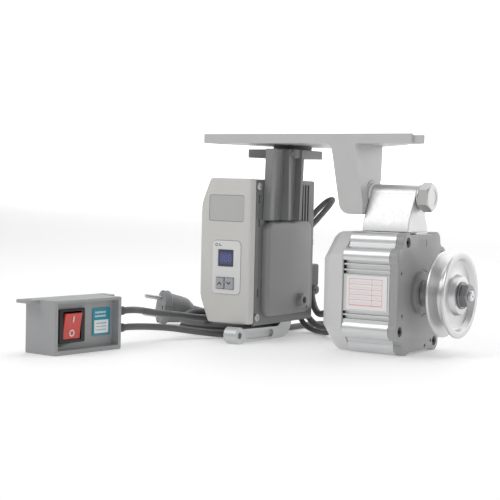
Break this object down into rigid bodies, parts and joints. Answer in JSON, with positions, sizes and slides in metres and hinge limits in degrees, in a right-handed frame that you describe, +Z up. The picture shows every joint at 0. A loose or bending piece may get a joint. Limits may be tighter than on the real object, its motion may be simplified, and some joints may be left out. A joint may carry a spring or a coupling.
{
  "type": "sewing machine servo motor drive",
  "caption": "Servo motor with a V-belt pulley under a table bracket, beside a control box with a treadle lever, with a switch box and plug on grey leads.",
  "frame": {"origin": "on the surface it stands on, under the middle of the set without its leads", "axes": "+X along the motor shaft towards the pulley, +Y away from the operator, +Z up towards the table"},
  "size_m": [0.3898, 0.408, 0.2043],
  "materials": {
    "bracket_paint": "light grey enamel on a casting",
    "cover_paint": "off-white enamel",
    "body_paint": "mid grey fine-textured paint",
    "arm_paint": "mid grey paint on a casting",
    "cap_paint": "grey fine-textured paint",
    "satin_aluminium": "satin extruded aluminium",
    "turned_aluminium": "turned bright",
    "cast_aluminium": "as cast",
    "steel": "ground",
    "zinc": "bright zinc plate",
    "black_steel": "black oxide",
    "core_steel": "stacked electrical steel",
    "magnet": "coated magnets",
    "copper": "enamelled copper wire",
    "cover_plastic": "warm light grey, fine texture",
    "panel_plastic": "off-white film",
    "window_film": "grey film",
    "display_glass": "dark display lens",
    "key_rubber": "grey key",
    "label_film": "white film",
    "gasket_rubber": "black sponge",
    "board": "green board",
    "component": "moulded",
    "switch_plastic": "mid grey, fine texture",
    "black_plastic": "black moulded",
    "rocker_red": "red moulded",
    "switch_film": "teal film",
    "lead_rubber": "grey sheath",
    "plug_plastic": "moulded grey"
  },
  "bodies": {
    "stand": {"bracket": "bracket_paint", "box_body": "body_paint", "side_cover": "body_paint", "box_arm": "arm_paint", "lever_shaft": "steel", "lever_spring": "steel", "hinge_spacer": "steel", "hinge_bolt": "zinc", "hinge_washer": "zinc", "hinge_nut": "zinc", "arm_bolt": "zinc", "side_screw_top": "zinc", "side_screw_bottom": "zinc", "cable_clip": "zinc", "box_cover": "cover_plastic", "control_panel": "panel_plastic", "info_window": "window_film", "display": "display_glass", "box_gasket": "gasket_rubber", "circuit_board": "board", "capacitor": "component", "power_module": "component", "switch_box": "switch_plastic", "switch_bezel": "black_plastic", "connector_block": "black_plastic", "switch_label": "switch_film", "mains_relief": "lead_rubber", "box_lead_relief": "lead_rubber", "mains_lead": "lead_rubber", "mains_coil": "lead_rubber", "plug_lead": "lead_rubber", "box_lead": "lead_rubber", "motor_lead": "lead_rubber", "encoder_lead": "lead_rubber", "link_lead": "lead_rubber", "mains_plug": "plug_plastic"},
    "motor": {"motor_housing": "satin_aluminium", "front_end_cap": "cap_paint", "rear_cover": "cover_paint", "motor_hanger": "satin_aluminium", "rating_label": "label_film", "stator_core": "core_steel", "winding_front": "copper", "winding_rear": "copper", "front_bearing": "steel", "rear_bearing": "steel", "tie_bolt_1": "steel", "tie_bolt_2": "steel", "tie_bolt_3": "steel", "tie_bolt_4": "steel"},
    "rotor": {"rotor_core": "core_steel", "magnet_ring": "magnet", "motor_shaft": "steel", "encoder_disc": "component", "pulley": "turned_aluminium", "pulley_nut": "black_steel"},
    "lever": {"treadle_lever": "cast_aluminium"},
    "rocker": {"rocker": "rocker_red"},
    "key_up": {"key_up": "key_rubber"},
    "key_down": {"key_down": "key_rubber"}
  },
  "joints": [
    {"name": "motor_swing", "type": "hinge", "parent": "stand", "child": "motor", "pos_m": [0.08869, 0.07043, 0.146], "axis": [1, 0, 0], "range_deg": [-6, 12]},
    {"name": "pulley_spin", "type": "hinge", "parent": "motor", "child": "rotor", "pos_m": [0.08869, 0.07393, 0.0566], "axis": [1, 0, 0], "continuous": true},
    {"name": "lever_hinge", "type": "hinge", "parent": "stand", "child": "lever", "pos_m": [-0.05721, 0.09593, 0.0426], "axis": [1, 0, 0], "range_deg": [-3, 20], "stiffness_Nm_per_rad": 0.6, "springref_deg": -2.12},
    {"name": "rocker_tip", "type": "hinge", "parent": "stand", "child": "rocker", "pos_m": [-0.12823, -0.1486, 0.025], "axis": [0.0941, 0.9956, 0], "range_deg": [-16, 0]},
    {"name": "key_up_press", "type": "slide", "parent": "stand", "child": "key_up", "axis": [0, 1, 0], "range_m": [0, 0.0008], "stiffness_N_per_m": 1500, "springref_m": -0.0003},
    {"name": "key_down_press", "type": "slide", "parent": "stand", "child": "key_down", "axis": [0, 1, 0], "range_m": [0, 0.0008], "stiffness_N_per_m": 1500, "springref_m": -0.0003}
  ]
}
